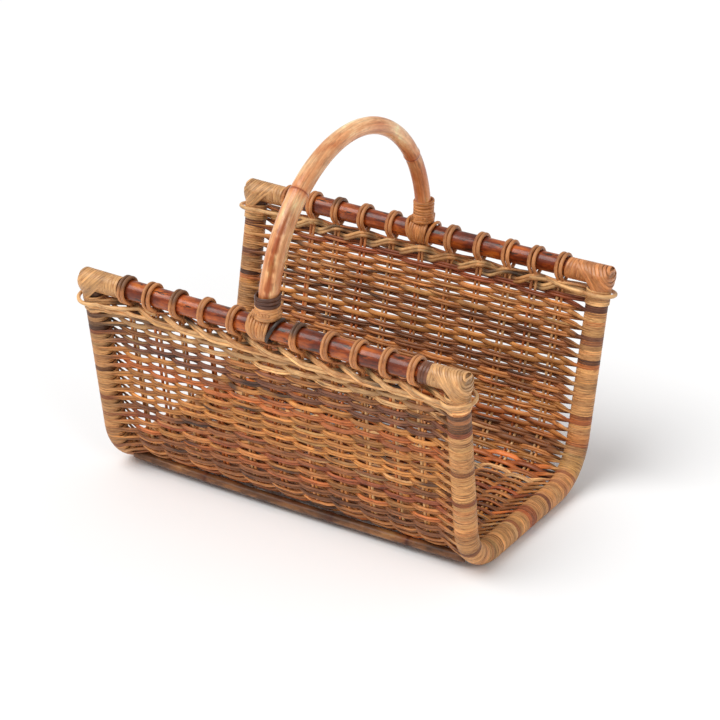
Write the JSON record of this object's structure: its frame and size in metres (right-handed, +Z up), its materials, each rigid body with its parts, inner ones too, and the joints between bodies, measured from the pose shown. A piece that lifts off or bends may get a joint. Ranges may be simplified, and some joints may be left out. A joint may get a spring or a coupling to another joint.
{
  "type": "wicker log basket",
  "caption": "Open-ended wicker log basket with flared woven sides and base in one sweep, pole rails along the top and a fixed arched carrying handle.",
  "frame": {"origin": "on the floor, under the centre of the basket", "axes": "+X along the rails, from the left open end to the right one; +Y from the front wall to the back wall; +Z up"},
  "size_m": [0.5644, 0.4056, 0.486],
  "materials": {
    "frame_pole": "satin peeled rattan pole",
    "rail_pole": "glossy varnished smoked rattan, mottled red-brown with dark scars",
    "runner_pole": "dull dark brown rattan pole",
    "handle_pole": "satin peeled rattan, pale orange with darker nodes",
    "stake_cane": "satin round cane",
    "weaver_cane": "satin round cane, mixed honey, brown and olive",
    "border_cane": "satin round cane, pale",
    "wrap_cane": "satin split cane in fine bands",
    "ring_cane": "satin round cane, pale",
    "binding_peel": "satin flat rattan peel",
    "lashing_peel": "satin flat rattan peel, dark brown",
    "nail_steel": "plain wire nails, out of sight"
  },
  "bodies": {
    "root": {"end_frame_left": "frame_pole", "end_frame_right": "frame_pole", "top_rail_front": "rail_pole", "top_rail_back": "rail_pole", "bottom_rail_front": "runner_pole", "bottom_rail_back": "runner_pole", "handle": "handle_pole", "stake_pair_01": "stake_cane", "stake_pair_02": "stake_cane", "stake_pair_03": "stake_cane", "stake_pair_04": "stake_cane", "stake_pair_05": "stake_cane", "stake_pair_06": "stake_cane", "stake_pair_07": "stake_cane", "stake_pair_08": "stake_cane", "stake_pair_09": "stake_cane", "stake_pair_10": "stake_cane", "stake_pair_11": "stake_cane", "weave_wall_front": "weaver_cane", "weave_bend_front": "weaver_cane", "weave_base": "weaver_cane", "weave_bend_back": "weaver_cane", "weave_wall_back": "weaver_cane", "border_front": "border_cane", "border_back": "border_cane", "wrap_wall_front_left": "wrap_cane", "wrap_wall_front_right": "wrap_cane", "wrap_bend_front_left": "wrap_cane", "wrap_bend_front_right": "wrap_cane", "wrap_base_left": "wrap_cane", "wrap_base_right": "wrap_cane", "wrap_bend_back_left": "wrap_cane", "wrap_bend_back_right": "wrap_cane", "wrap_wall_back_left": "wrap_cane", "wrap_wall_back_right": "wrap_cane", "corner_ring_front_left": "ring_cane", "corner_ring_front_right": "ring_cane", "corner_ring_back_left": "ring_cane", "corner_ring_back_right": "ring_cane", "corner_binding_front_left": "binding_peel", "corner_binding_front_right": "binding_peel", "corner_binding_back_left": "binding_peel", "corner_binding_back_right": "binding_peel", "handle_band_front": "lashing_peel", "handle_band_back": "lashing_peel", "handle_skirt_front": "binding_peel", "handle_skirt_back": "binding_peel", "handle_side_loops_front": "lashing_peel", "handle_side_loops_back": "lashing_peel", "frame_nails": "nail_steel", "handle_nails": "nail_steel"}
  },
  "joints": []
}
